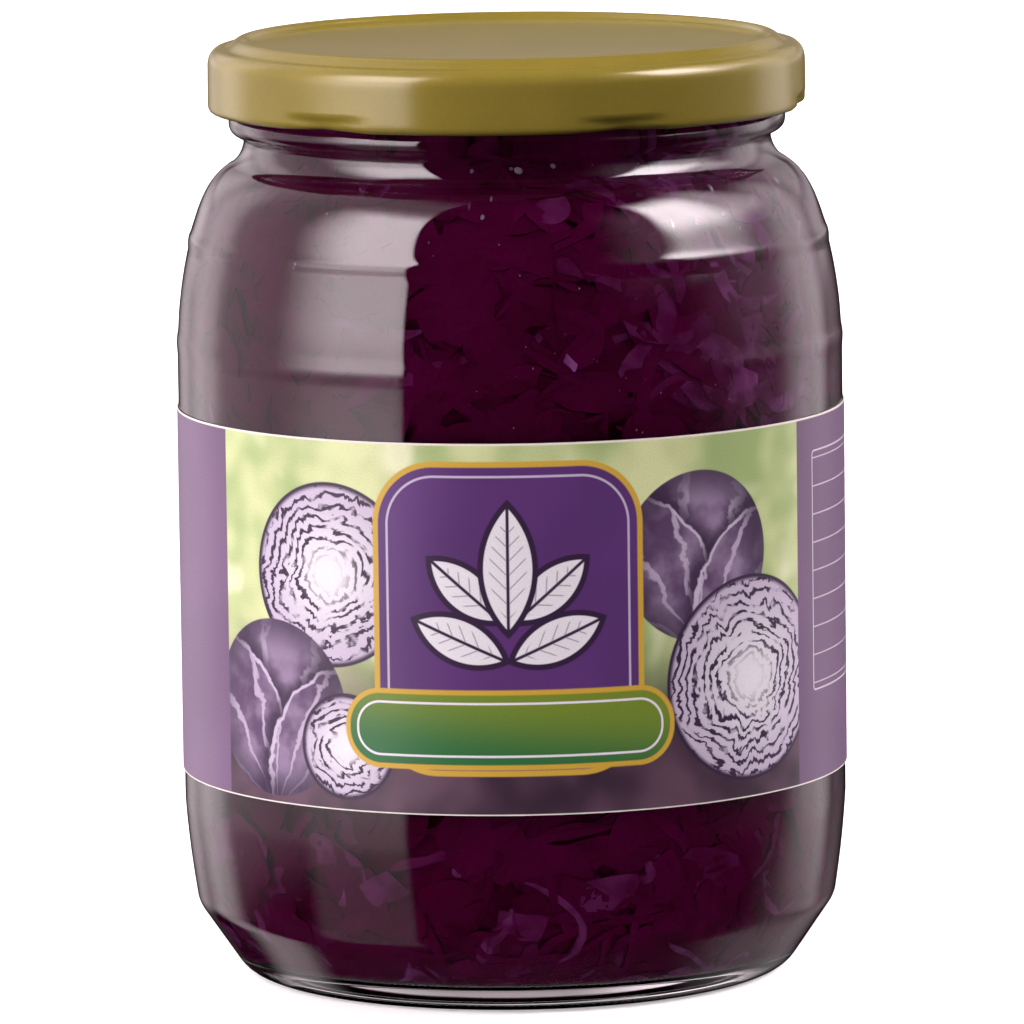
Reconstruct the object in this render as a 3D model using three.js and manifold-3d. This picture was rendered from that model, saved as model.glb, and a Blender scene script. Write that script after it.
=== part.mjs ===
// A shut jar of shredded red cabbage: a clear glass jar, a gold twist-off lid with six lugs,
// a wrap-round paper label and the packed shreds inside.
// Millimetres, +Z up. The origin is the centre of the jar's foot, and the label's middle faces -Y.
import * as THREE from "three";
import { mergeVertices } from "three/addons/utils/BufferGeometryUtils.js";
import Module from "manifold-3d";

const wasm = await Module();
wasm.setup();

// Round pieces share one number of facets, so that neighbouring walls stay parallel.
const FACETS = 48;
const FACET_ANGLE = (2 * Math.PI) / FACETS;
const CURVE_STEPS = 3;

// Glass, outside
const BODY_RADIUS = 47.4;
const FOOT_INNER_RADIUS = 31;
const FOOT_OUTER_RADIUS = 36;
const PUSH_UP = 1.6;
const HEEL_LOW = { r: 40.2, z: 2.1 };
const HEEL_TOP = { r: 45.6, z: 10.05 };
const BODY_BOTTOM = 25;
const BODY_TOP = 89;
const LAND_RADIUS = 45.65;
const LAND_BOTTOM = 103.7;
const LAND_TOP = 105.2;
const SHOULDER_TOP = { r: 40, z: 115.6 };
const NECK_RADIUS = 37.5;
const NECK_BOTTOM = 118.8;
const BEAD_BOTTOM = 119.9;
const BEAD_RADIUS = 39.6;
const BEAD_MIDDLE = 121.9;
const FINISH_BOTTOM = 123.4;
const FINISH_RADIUS = 38.6;
const RIM_TOP = 132.2;
const RIM_CHAMFER = 1;

// Glass, inside
const WALL = 2.6;
const MOUTH_RADIUS = 35.2;
const FLOOR_MIDDLE = 5.4;
const FLOOR_EDGE = { r: 35.5, z: 4.3 };

// Lid: lacquered sheet steel with a rolled lower edge, a stacking bead and a sunk middle panel
const LID_RADIUS = 42.5;
const LID_BOTTOM = 123.5;
const LID_TOP = 133.8;
const SHEET = 0.4;
const CURL_RADIUS = 1;
const LID_SHOULDER_ROUNDING = 2;
const STEP = { r: 40.2, z: 132.45 };
const BEAD_CREST_RADIUS = 38.1;
const PANEL_RADIUS = 36.2;
const PANEL_TOP = 132.9;
const LUGS = 6;
const LUG_DEPTH = 0.9;
const LUG_HALF_WIDTH = 1.5 * FACET_ANGLE;
const FIRST_LUG_ANGLE = THREE.MathUtils.degToRad(-90 + 22.5);

// Label
const LABEL_RADIUS = 47.62;
const PAPER = 0.12;
const LABEL_BOTTOM = 29.5;
const LABEL_HEIGHT = 52;
const LABEL_GAP_FACETS = 1;

// Cabbage: a core a little inside the glass, with shreds fused on it
const FILL_LEVEL = 125;
const GLASS_CLEARANCE = 0.5;
const GLASS_GAP = 0.3;
const CORE_DEPTH = 1.8;
const CORE_ROWS = 12;
const CORE_FACETS = 24;
const SHREDS = 50;
const SHRED_LENGTH = [20, 36];
const SHRED_WIDTH = [3.6, 6.4];
const SHRED_THICKNESS = 2.6;
const SHRED_STEPS = 4;
const SHRED_SINK = 0.75;
const SHRED_WAVE = 0.3;
const SHRED_BEND = 0.03;
const SHRED_TIP = 0.55;
const STEEPEST_SHRED = 1.2;
const LOWEST_SHRED = 0.2;
const HIGHEST_SHRED = 0.97;
const GOLDEN_ANGLE = Math.PI * (3 - Math.sqrt(5));
const SEED = 20;

// A repeatable stream of numbers from 0 to 1.
function makeRandom(seed) {
  let state = seed;
  return () => {
    state = (state + 0x6d2b79f5) | 0;
    let mixed = Math.imul(state ^ (state >>> 15), 1 | state);
    mixed = (mixed + Math.imul(mixed ^ (mixed >>> 7), 61 | mixed)) ^ mixed;
    return ((mixed ^ (mixed >>> 14)) >>> 0) / 2 ** 32;
  };
}

// A closed (r, z) outline turned round the Z axis.
function revolve(outline, facets) {
  return new THREE.LatheGeometry(outline, facets).rotateX(Math.PI / 2);
}

// A closed geometry as a solid that can be joined to others.
function toSolid(geometry) {
  const bare = geometry.clone();
  bare.deleteAttribute("normal");
  bare.deleteAttribute("uv");
  const merged = mergeVertices(bare, 1e-4);
  return new wasm.Manifold(
    new wasm.Mesh({
      numProp: 3,
      vertProperties: new Float32Array(merged.attributes.position.array),
      triVerts: new Uint32Array(merged.index.array),
    }),
  );
}

function toGeometry(solid) {
  const mesh = solid.getMesh();
  const geometry = new THREE.BufferGeometry();
  geometry.setAttribute("position", new THREE.BufferAttribute(mesh.vertProperties, 3));
  geometry.setIndex(new THREE.BufferAttribute(mesh.triVerts, 1));
  geometry.computeVertexNormals();
  return geometry;
}

// The jar's outer wall, from the middle of the foot up to the rim.
function outerWall() {
  const heelSlope = (HEEL_TOP.r - HEEL_LOW.r) / (HEEL_TOP.z - HEEL_LOW.z);
  return new THREE.Path()
    .moveTo(0, PUSH_UP)
    .quadraticCurveTo(FOOT_INNER_RADIUS * 0.6, PUSH_UP, FOOT_INNER_RADIUS, 0)
    .lineTo(FOOT_OUTER_RADIUS, 0)
    .quadraticCurveTo(HEEL_LOW.r - HEEL_LOW.z * heelSlope, 0, HEEL_LOW.r, HEEL_LOW.z)
    .lineTo(HEEL_TOP.r, HEEL_TOP.z)
    .quadraticCurveTo(BODY_RADIUS - 0.4, (HEEL_TOP.z + BODY_BOTTOM) / 2, BODY_RADIUS, BODY_BOTTOM)
    .lineTo(BODY_RADIUS, BODY_TOP)
    .quadraticCurveTo(BODY_RADIUS, (BODY_TOP + LAND_BOTTOM) / 2, LAND_RADIUS, LAND_BOTTOM)
    .lineTo(LAND_RADIUS, LAND_TOP)
    .bezierCurveTo(44.4, 108.4, 43.6, 113.2, SHOULDER_TOP.r, SHOULDER_TOP.z)
    .quadraticCurveTo(NECK_RADIUS + 0.3, NECK_BOTTOM - 1.8, NECK_RADIUS, NECK_BOTTOM)
    .lineTo(NECK_RADIUS, BEAD_BOTTOM)
    .quadraticCurveTo(BEAD_RADIUS, BEAD_BOTTOM, BEAD_RADIUS, BEAD_MIDDLE)
    .lineTo(FINISH_RADIUS, FINISH_BOTTOM)
    .lineTo(FINISH_RADIUS, RIM_TOP - RIM_CHAMFER)
    .lineTo(FINISH_RADIUS - RIM_CHAMFER, RIM_TOP);
}

// The jar's inner wall, from the middle of its floor up to the rim.
function innerWall() {
  const inside = BODY_RADIUS - WALL;
  return new THREE.Path()
    .moveTo(0, FLOOR_MIDDLE)
    .lineTo(FLOOR_EDGE.r, FLOOR_EDGE.z)
    .quadraticCurveTo(FLOOR_EDGE.r + 2.5, FLOOR_EDGE.z, HEEL_LOW.r - 0.6, HEEL_LOW.z + 4.4)
    .lineTo(HEEL_TOP.r - WALL - 0.3, HEEL_TOP.z + 1.2)
    .quadraticCurveTo(inside - 0.2, HEEL_TOP.z + 5, inside, BODY_BOTTOM)
    .lineTo(inside, BODY_TOP)
    .lineTo(inside - 0.3, (BODY_TOP + LAND_BOTTOM) / 2)
    .lineTo(LAND_RADIUS - WALL, LAND_BOTTOM + 0.5)
    .bezierCurveTo(41.6, 107.8, 40.6, 111.6, SHOULDER_TOP.r - 2.8, SHOULDER_TOP.z - 1.3)
    .lineTo(MOUTH_RADIUS + 0.3, NECK_BOTTOM - 2)
    .lineTo(MOUTH_RADIUS, NECK_BOTTOM)
    .lineTo(MOUTH_RADIUS, RIM_TOP - RIM_CHAMFER)
    .lineTo(MOUTH_RADIUS + RIM_CHAMFER, RIM_TOP);
}

function jarGeometry() {
  const outside = outerWall().getPoints(CURVE_STEPS);
  const inside = innerWall().getPoints(CURVE_STEPS).reverse();
  return revolve([...outside, ...inside], FACETS);
}

// The lid's sheet in section: the outer face from the rolled edge to the middle, then back inside.
function lidOutline() {
  const curlTop = LID_BOTTOM + 2 * CURL_RADIUS;
  const skirtTop = LID_TOP - LID_SHOULDER_ROUNDING - 1.6;
  return new THREE.Path()
    .moveTo(0, PANEL_TOP)
    .lineTo(0, PANEL_TOP - SHEET)
    .lineTo(PANEL_RADIUS, PANEL_TOP - SHEET)
    .lineTo(PANEL_RADIUS + 1.1, LID_TOP - SHEET)
    .lineTo(BEAD_CREST_RADIUS + 0.3, LID_TOP - SHEET)
    .lineTo(STEP.r - SHEET, STEP.z - SHEET)
    .lineTo(LID_RADIUS - LID_SHOULDER_ROUNDING, STEP.z - SHEET)
    .lineTo(LID_RADIUS - SHEET, skirtTop)
    .lineTo(LID_RADIUS - SHEET, curlTop)
    .lineTo(LID_RADIUS - 2 * CURL_RADIUS, LID_BOTTOM + CURL_RADIUS)
    .quadraticCurveTo(LID_RADIUS - 2 * CURL_RADIUS, LID_BOTTOM, LID_RADIUS - CURL_RADIUS, LID_BOTTOM)
    .quadraticCurveTo(LID_RADIUS, LID_BOTTOM, LID_RADIUS, LID_BOTTOM + CURL_RADIUS)
    .lineTo(LID_RADIUS, skirtTop)
    .quadraticCurveTo(LID_RADIUS, STEP.z, LID_RADIUS - LID_SHOULDER_ROUNDING, STEP.z)
    .lineTo(STEP.r, STEP.z)
    .quadraticCurveTo(BEAD_CREST_RADIUS + 1, LID_TOP, BEAD_CREST_RADIUS, LID_TOP)
    .quadraticCurveTo(PANEL_RADIUS + 0.9, LID_TOP, PANEL_RADIUS, PANEL_TOP)
    .lineTo(0, PANEL_TOP)
    .getPoints(CURVE_STEPS);
}

// How far the rolled edge is pressed in at an angle: LUG_DEPTH at the middle of a lug, none between lugs.
function lugPress(angle) {
  const pitch = (2 * Math.PI) / LUGS;
  const turned = THREE.MathUtils.euclideanModulo(angle - FIRST_LUG_ANGLE + pitch / 2, pitch) - pitch / 2;
  return LUG_DEPTH * (1 - THREE.MathUtils.smoothstep(Math.abs(turned), 0, LUG_HALF_WIDTH));
}

function lidGeometry() {
  const geometry = revolve(lidOutline(), FACETS);
  const position = geometry.attributes.position;
  for (let i = 0; i < position.count; i++) {
    const x = position.getX(i);
    const y = position.getY(i);
    const height = position.getZ(i) - LID_BOTTOM;
    const radius = Math.hypot(x, y);
    const inCurl = 1 - THREE.MathUtils.smoothstep(height, CURL_RADIUS, 2.5 * CURL_RADIUS);
    const innerShare = THREE.MathUtils.clamp((LID_RADIUS - radius) / CURL_RADIUS, 0.4, 1);
    const shrink = 1 - (lugPress(Math.atan2(y, x)) * inCurl * innerShare) / Math.max(radius, 1);
    position.setXY(i, x * shrink, y * shrink);
  }
  return geometry;
}

// A paper sleeve with a narrow gap at the back.
function labelGeometry() {
  const half = (LABEL_GAP_FACETS * FACET_ANGLE) / 2;
  const start = Math.PI / 2 + half + FACET_ANGLE / 2;
  const end = start + 2 * Math.PI - 2 * half;
  const strip = new THREE.Shape()
    .absarc(0, 0, LABEL_RADIUS, start, end, false)
    .absarc(0, 0, LABEL_RADIUS - PAPER, end, start, true);
  return new THREE.ExtrudeGeometry(strip, {
    depth: LABEL_HEIGHT,
    bevelEnabled: false,
    curveSegments: (FACETS - LABEL_GAP_FACETS) / 2,
  }).translate(0, 0, LABEL_BOTTOM);
}

// The stretch of the inner wall that the cabbage touches, from the floor's middle to the fill level.
function filledWall() {
  const wall = innerWall();
  const length = wall.getLength();
  let share = 1;
  while (wall.getPointAt(share).y > FILL_LEVEL) share -= 0.001;
  return { wall, length: length * share, share };
}

// A point at a depth under the filled wall: `along` mm up the wall from its middle, `angle` round the axis.
function underWall(filled, along, angle, depth) {
  const u = THREE.MathUtils.clamp((along / filled.length) * filled.share, 0, filled.share);
  const point = filled.wall.getPointAt(u);
  const tangent = filled.wall.getTangentAt(u);
  const radius = Math.max(point.x - tangent.y * depth, 0);
  const height = Math.min(point.y + tangent.x * depth, FILL_LEVEL);
  return new THREE.Vector3(radius * Math.cos(angle), radius * Math.sin(angle), height);
}

function coreGeometry(filled) {
  const outline = [];
  for (let row = 0; row <= CORE_ROWS; row++) {
    const point = underWall(filled, (row / CORE_ROWS) * filled.length, 0, GLASS_CLEARANCE + CORE_DEPTH);
    outline.push(new THREE.Vector2(row === 0 ? 0 : point.x, point.z));
  }
  outline.push(new THREE.Vector2(0, outline[CORE_ROWS].y));
  return revolve(outline, CORE_FACETS);
}

// One shred: a thin strip that follows the wall, bends sideways and waves in depth.
function shredGeometry(filled, along, angle, random) {
  const length = THREE.MathUtils.lerp(...SHRED_LENGTH, random());
  const width = THREE.MathUtils.lerp(...SHRED_WIDTH, random());
  const heading = STEEPEST_SHRED * (2 * random() - 1);
  const bend = SHRED_BEND * (2 * random() - 1);
  const sink = SHRED_SINK * random();
  const phase = 2 * Math.PI * random();
  const radius = filled.wall.getPointAt((along / filled.length) * filled.share).x;
  const vertices = [];
  for (let step = 0; step <= SHRED_STEPS; step++) {
    const share = step / SHRED_STEPS - 0.5;
    const run = share * length;
    const turn = heading + bend * run;
    const middle = [run * Math.cos(heading), run * Math.sin(heading) + (bend * run * run) / 2];
    const half = (width / 2) * THREE.MathUtils.lerp(1, SHRED_TIP, (2 * share) ** 4);
    const depth = GLASS_CLEARANCE + sink + SHRED_WAVE * (1 + Math.sin(phase + 7 * share));
    for (const [side, under] of [[-1, 0], [1, 0], [1, SHRED_THICKNESS], [-1, SHRED_THICKNESS]]) {
      const across = middle[0] - side * half * Math.sin(turn);
      const up = middle[1] + side * half * Math.cos(turn);
      const point = underWall(filled, along + up, angle + across / radius, depth + under);
      vertices.push(point.x, point.y, point.z);
    }
  }
  const faces = [0, 1, 2, 0, 2, 3];
  for (let step = 0; step < SHRED_STEPS; step++) {
    for (let side = 0; side < 4; side++) {
      const a = 4 * step + side;
      const b = 4 * step + ((side + 1) % 4);
      faces.push(a, a + 4, b, b, a + 4, b + 4);
    }
  }
  const last = 4 * SHRED_STEPS;
  faces.push(last, last + 2, last + 1, last, last + 3, last + 2);
  const geometry = new THREE.BufferGeometry();
  geometry.setAttribute("position", new THREE.Float32BufferAttribute(vertices, 3));
  geometry.setIndex(faces);
  return geometry;
}

// The room inside the glass, less a hair's breadth all over: no shred reaches out of it.
function roomGeometry() {
  const wall = innerWall().getPoints(CURVE_STEPS);
  const outline = wall.map((point, i) => {
    const before = wall[Math.max(i - 1, 0)];
    const after = wall[Math.min(i + 1, wall.length - 1)];
    const along = after.clone().sub(before).normalize();
    const inward = new THREE.Vector2(-along.y, along.x).multiplyScalar(GLASS_GAP);
    return new THREE.Vector2(i === 0 ? 0 : point.x + inward.x, point.y + inward.y);
  });
  outline.push(new THREE.Vector2(0, outline[outline.length - 1].y));
  return revolve(outline, FACETS);
}

// The packed cabbage: the shreds stand on a spiral of even spacing and are fused to the core.
function cabbageGeometry() {
  const random = makeRandom(SEED);
  const filled = filledWall();
  const pieces = [toSolid(coreGeometry(filled))];
  for (let i = 0; i < SHREDS; i++) {
    const share = THREE.MathUtils.lerp(LOWEST_SHRED, HIGHEST_SHRED, (i + 0.5) / SHREDS);
    pieces.push(toSolid(shredGeometry(filled, share * filled.length, i * GOLDEN_ANGLE, random)));
  }
  const joined = wasm.Manifold.union(pieces).intersect(toSolid(roomGeometry()));
  const largest = joined.decompose().reduce((a, b) => (b.volume() > a.volume() ? b : a));
  return toGeometry(largest);
}

function addPiece(group, name, geometry, finish) {
  const piece = new THREE.Mesh(geometry, new THREE.MeshStandardMaterial(finish));
  piece.name = name;
  group.add(piece);
}

const jarOfCabbage = new THREE.Group();
addPiece(jarOfCabbage, "jar", jarGeometry(), {
  color: 0xe6ece8,
  roughness: 0.03,
  metalness: 0,
  transparent: true,
  opacity: 0.3,
});
addPiece(jarOfCabbage, "lid", lidGeometry(), { color: 0x937a38, roughness: 0.32, metalness: 0.85 });
addPiece(jarOfCabbage, "label", labelGeometry(), { color: 0x6b4a7c, roughness: 0.45, metalness: 0 });
addPiece(jarOfCabbage, "cabbage", cabbageGeometry(), { color: 0x3a0626, roughness: 0.3, metalness: 0 });

export default jarOfCabbage;
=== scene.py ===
"""A shut jar of red cabbage: clear glass, a gold twist-off lid, a printed paper label,
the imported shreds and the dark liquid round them, on a pale floor in soft studio light."""

import math

import bpy
import numpy as np
from bpy.props import FloatProperty, FloatVectorProperty, IntProperty, PointerProperty
from mathutils import Matrix, Vector


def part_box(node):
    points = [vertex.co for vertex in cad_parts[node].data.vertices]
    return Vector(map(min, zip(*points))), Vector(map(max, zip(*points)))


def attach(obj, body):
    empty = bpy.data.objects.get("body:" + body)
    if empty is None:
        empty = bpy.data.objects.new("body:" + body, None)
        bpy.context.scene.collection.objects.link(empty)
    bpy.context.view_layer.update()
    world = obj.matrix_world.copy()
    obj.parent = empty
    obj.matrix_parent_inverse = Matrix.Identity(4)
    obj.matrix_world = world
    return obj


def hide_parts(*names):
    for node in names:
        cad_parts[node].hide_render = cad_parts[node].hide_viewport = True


bl_info = {
    "name": "Jar of red cabbage",
    "version": (1, 0, 0),
    "blender": (4, 5, 0),
    "location": "View3D > Sidebar > Jar",
    "description": "Dresses a jar of red cabbage: glass, lid, label, shreds and liquid",
    "category": "Add Mesh",
}

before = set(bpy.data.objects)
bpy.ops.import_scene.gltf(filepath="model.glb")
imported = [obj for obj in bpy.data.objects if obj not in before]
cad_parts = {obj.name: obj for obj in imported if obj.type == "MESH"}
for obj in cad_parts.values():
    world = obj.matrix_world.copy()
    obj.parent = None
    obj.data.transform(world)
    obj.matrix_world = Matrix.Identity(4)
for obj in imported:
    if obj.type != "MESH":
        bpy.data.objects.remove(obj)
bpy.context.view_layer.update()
_, JAR_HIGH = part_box("jar")
LID_LOW, LID_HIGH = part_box("lid")
LABEL_LOW, LABEL_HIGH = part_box("label")
_, CABBAGE_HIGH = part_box("cabbage")

MM = 0.001
FULL_TURN = 2 * math.pi
WHITE = (1.0, 1.0, 1.0)
BLACK = (0.0, 0.0, 0.0)
GLASS_IOR = 1.51
LIQUID_IOR = 1.35

# Sides and rows of the turned pieces, and how near points are merged
GLASS_SIDES = 160
LID_SIDES = 180
LABEL_SIDES, LABEL_ROWS = 188, 12
CORE_SIDES, CORE_ROWS = 96, 60
LIQUID_SIDES, LIQUID_ROWS = 160, 90
MERGE_DISTANCE = 0.002 * MM

# Heights between which the wet inner wall stops mirroring, in metres
MIRROR_FADE = (7 * MM, 11 * MM)

# A lug's dent is pressed in nested windows: how many, and how far the widest reaches to each side.
# In millimetres, how high they go above the edge at the least, how much more the widest takes in,
# and how wide the rolled edge is
LUG_WINDOWS = 6
LUG_REACH = math.radians(9)
LUG_LOWEST, LUG_GROWTH = 0.6, 1.6
ROLLED_EDGE = 2.2

# Half the width over which the edge of a printed shape fades, in millimetres
PRINT_EDGE = 0.12

# Leaves wrapped round a printed head: the start of their veins, then each leaf's middle across
# and up and its reach, as shares of the head's radius
WRAPPED_LEAVES = ((0.0, 0.0, 0.0, 9.0), (1.9, -1.05, -0.45, 1.25), (4.1, 1.2, -0.75, 1.3))

# Side leaves of the printed sprig: height, way out from the middle, turn and half length
SPRIG_LEAVES = ((24.5, 6.8, 1.15, 6.6), (31.5, 6.0, 0.85, 6.2))

# Shreds, in millimetres: how deep they spread behind the glass, from which depth on and how near
# they come to it, and their lengths and widths; then how finely each is divided, and how many
# flakes are bits of stalk
SHRED_DEPTH, FIRST_DEPTH = 1.4, 0.2
NEAREST_SHRED = 0.12
STRIP_LENGTHS, STRIP_WIDTHS = (8, 26), (1.2, 2.9)
STRIP_STEPS, STRIP_COLUMNS = 10, 2
FLAKE_HALF_LENGTHS, STALK_HALF_LENGTHS = (2.6, 6), (0.8, 1.8)
FLAKE_STEPS, FLAKE_COLUMNS = 7, 4
STALK_SHARE = 0.07

# Part of the way up the wall where shreds lie, and how far their headings spread, in radians
SHRED_SHARES = (0.13, 0.99)
HEADING_SPREAD = 0.7

# How far the core and the liquid lie behind the glass and how big the shreds are there,
# by the way along the glass from the middle of the floor
ALONG_WALL = (36, 42, 58)
CORE_DEPTHS = (0.1, 0.8, 1.9)
LIQUID_DEPTHS = (-0.03, -0.2, -0.25)
SHRED_SIZES = (0.5, 0.6, 1.0)

# Where more shreds are pale, as painted light from the right-hand light and from below, with bits of stalk
# among them:
# degrees from the front towards the right, how far that spreads, and how far the pale ones by the foot reach
# up, in millimetres
PAINTED_LIGHT_TURN, PAINTED_LIGHT_SPREAD = 48, 22
PAINTED_LIGHT_FOOT = 20

# Bubbles sit on this part of the way up the wall and have these sizes in millimetres. Past the
# shoulder they may be larger, but they stand no further out than the flattest
BUBBLE_SHARES = (0.72, 0.97)
BUBBLE_SIZES = (0.06, 0.14)
SHOULDER_SHARE = 0.84
FLATTEST_BUBBLE = 0.15

# Stage: sizes in metres and power in watts, and how brightly the floor glows where the camera
# sees it and where it is seen through the glass
FLOOR_SIZE = 12
FLOOR_GLOW, FLOOR_GLOW_THROUGH_GLASS = 0.35, 0.6
OVERHEAD_HEIGHT = 1.6
OVERHEAD_SIZE = 1.0
OVERHEAD_POWER = 1.0
SENSOR_WIDTH = 36

# Soft windows of light round the jar: where each fades in and out, in degrees from the front
# towards the right, then in degrees above the level, and how bright it is
SOFT_WINDOWS = {
    "left softbox": ((-91, -59, -38.2, -36.4), (16, 26, 44, 60), 3.8),
    "left softbox foot": ((-91, -59, -38.2, -36.4), (-14, 4, 42, 54), 6.7),
    "left wall": ((-173, -152, -41, -37), (-22, -8, 62, 80), 1.15),
    "left rim": ((-148, -134, -128, -116), (-60, -44, 24, 42), 1.1),
    "left table": ((-82, -74, -40, -37), (-48, -38, -15, -8), 0.5),
    "right softbox": ((60, 68, 82, 104), (20, 36, 46, 60), 19.5),
    "right softbox foot": ((64, 72, 90, 112), (11, 21, 27, 36), 4.5),
    "right glow": ((85, 95, 106, 126), (18, 28, 48, 60), 3.8),
    "right spill": ((34, 56, 60, 66), (8, 30, 38, 56), 0.6),
    "right wall": ((60, 108, 146, 173), (-18, 6, 26, 46), 0.65),
    "right rim": ((104, 122, 132, 146), (-24, -8, 26, 46), 1.5),
    "left back wall": ((-200, -190, -150, -138), (-3, 1, 2, 9), 0.42),
    "right back wall": ((138, 150, 190, 200), (-3, 1, 2, 9), 0.42),
    "left back glow": ((-200, -190, -150, -138), (7, 11, 20, 30), 0.45),
    "right back glow": ((138, 150, 190, 200), (7, 11, 20, 30), 0.45),
    "right table": ((90, 115, 150, 173), (-60, -45, -20, -8), 0.4),
}
LIGHT_TINT = (1.0, 0.9, 0.93)


def shade(red, green, blue):
    """A colour as seen on screen, 0 to 255, as the linear values that shaders use."""
    def linear(level):
        level /= 255
        return level / 12.92 if level <= 0.04045 else ((level + 0.055) / 1.055) ** 2.4
    return tuple(linear(level) for level in (red, green, blue))


def colour(name, description, default):
    return FloatVectorProperty(
        name=name, description=description, subtype="COLOR", size=3, min=0, max=1, default=default
    )


def length(name, description, default):
    return FloatProperty(
        name=name, description=description, unit="LENGTH", min=0, precision=5, default=default
    )


def angle_setting(name, description, default):
    return FloatProperty(name=name, description=description, subtype="ANGLE", default=default)


class GlassSettings(bpy.types.PropertyGroup):
    body_radius: length("Body radius", "Outer radius of the straight part of the wall", JAR_HIGH.x)
    height: length("Height", "From the foot to the rim under the lid", JAR_HIGH.z)
    wall: length("Wall", "Thickness of the straight wall", 2.6 * MM)
    tint: colour("Tint", "Colour of the light that the glass lets through", (0.95, 0.975, 0.96))
    seam_angle: angle_setting(
        "Seam angle", "Where the mould's seam runs, from the front towards the right", math.radians(-7)
    )


class LidSettings(bpy.types.PropertyGroup):
    radius: length("Radius", "Outer radius of the skirt", LID_HIGH.x)
    bottom: length("Bottom", "Height of the rolled edge above the floor", LID_LOW.z)
    top: length("Top", "Height of the stacking bead above the floor", LID_HIGH.z)
    sheet: length("Sheet", "Thickness of the sheet steel", 0.4 * MM)
    lug_depth: length("Lug depth", "How far the rolled edge is pressed in at a lug", 0.7 * MM)
    lug_rise: length("Lug rise", "How far the rolled edge is pressed up at a lug", 0.3 * MM)
    lugs: IntProperty(name="Lugs", description="Lugs round the rolled edge", default=6, min=3)
    lug_angle: angle_setting(
        "First lug", "Angle of one lug, from the front towards the right", math.radians(22.5)
    )
    gold: colour("Gold", "Colour of the lacquered metal", (0.21, 0.164, 0.0265))


class LabelSettings(bpy.types.PropertyGroup):
    radius: length("Radius", "Outer radius of the paper", LABEL_HIGH.x)
    bottom: length("Bottom", "Height of the lower edge above the floor", LABEL_LOW.z)
    height: length("Height", "Height of the paper", LABEL_HIGH.z - LABEL_LOW.z)
    paper: length("Paper", "Thickness of the paper", 0.12 * MM)
    gap_start: angle_setting(
        "Gap start", "Where the gap at the back starts, from the right towards the back", math.radians(90)
    )
    gap: angle_setting("Gap", "Width of the gap at the back", math.radians(7.5))
    violet: colour("Violet", "Side panels", shade(107, 80, 114))
    deep_violet: colour("Deep violet", "Shield", shade(88, 52, 112))
    pale_green: colour("Pale green", "Upper part of the picture field", shade(206, 214, 160))
    leaf_green: colour("Leaf green", "Ribbon", shade(44, 104, 58))
    gold: colour("Gold", "Rims of the shield and the ribbon", shade(196, 160, 58))
    olive: colour("Olive", "Upper edge of the ribbon", shade(112, 134, 44))
    cream: colour("Cream", "Pale parts of the print", shade(222, 220, 226))
    lilac: colour("Lilac", "Shaded pale parts of the print", shade(188, 176, 198))
    ink: colour("Ink", "Dark lines of the print", shade(48, 30, 58))


class CabbageSettings(bpy.types.PropertyGroup):
    fill_level: length("Fill level", "Height of the liquid above the floor", CABBAGE_HIGH.z)
    strips: IntProperty(name="Strips", description="Narrow shreds near the glass", default=1500, min=1)
    flakes: IntProperty(name="Flakes", description="Wide leaf pieces near the glass", default=1250, min=1)
    bubbles: IntProperty(name="Bubbles", description="Air bubbles on the inner wall", default=240, min=1)
    thickness: length("Thickness", "Thickness of a shred", 0.7 * MM)
    seed: IntProperty(name="Seed", description="Start of the random draw", default=7)
    dark: colour("Dark", "Darkest shreds", (0.038, 0.0004, 0.015))
    light: colour("Light", "Lightest shreds", (0.064, 0.001, 0.03))
    # Pale is also painted light on shreds at the front right and by the foot
    pale: colour("Pale", "Bits of stalk", (0.31, 0.1, 0.34))
    liquid: colour("Liquid", "Colour of light in the liquid", (0.78, 0.05, 0.5))
    strength: FloatProperty(
        name="Strength", description="How fast the liquid takes up light, per metre", default=120, min=0
    )


class StageSettings(bpy.types.PropertyGroup):
    floor: colour("Floor", "Colour of the floor", (0.9, 0.9, 0.9))
    camera_distance: length("Camera distance", "Level distance of the camera from the jar's axis", 1.32245)
    camera_height: length("Camera height", "Height of the camera above the floor", 0.25154)
    lens: FloatProperty(name="Lens", description="Focal length in millimetres", default=328.2)
    pitch: angle_setting("Pitch", "Downward tilt of the camera", 0.1399)
    roll: angle_setting("Roll", "Turn of the camera about its view", -0.0130)


# Outlines are (radius, height) points in millimetres


def bend(*controls, steps):
    """Points of the smooth curve that the controls pull, without its first point."""
    points = []
    for step in range(1, steps + 1):
        share = step / steps
        row = [np.array(point, float) for point in controls]
        while len(row) > 1:
            row = [(1 - share) * a + share * b for a, b in zip(row, row[1:])]
        points.append(tuple(row[0]))
    return points


def outline_from(start, *curves):
    """An outline from its start on. Each curve has its steps, the points that pull it and its end."""
    outline = [start]
    for steps, *controls in curves:
        outline += bend(outline[-1], *controls, steps=steps)
    return outline


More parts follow.
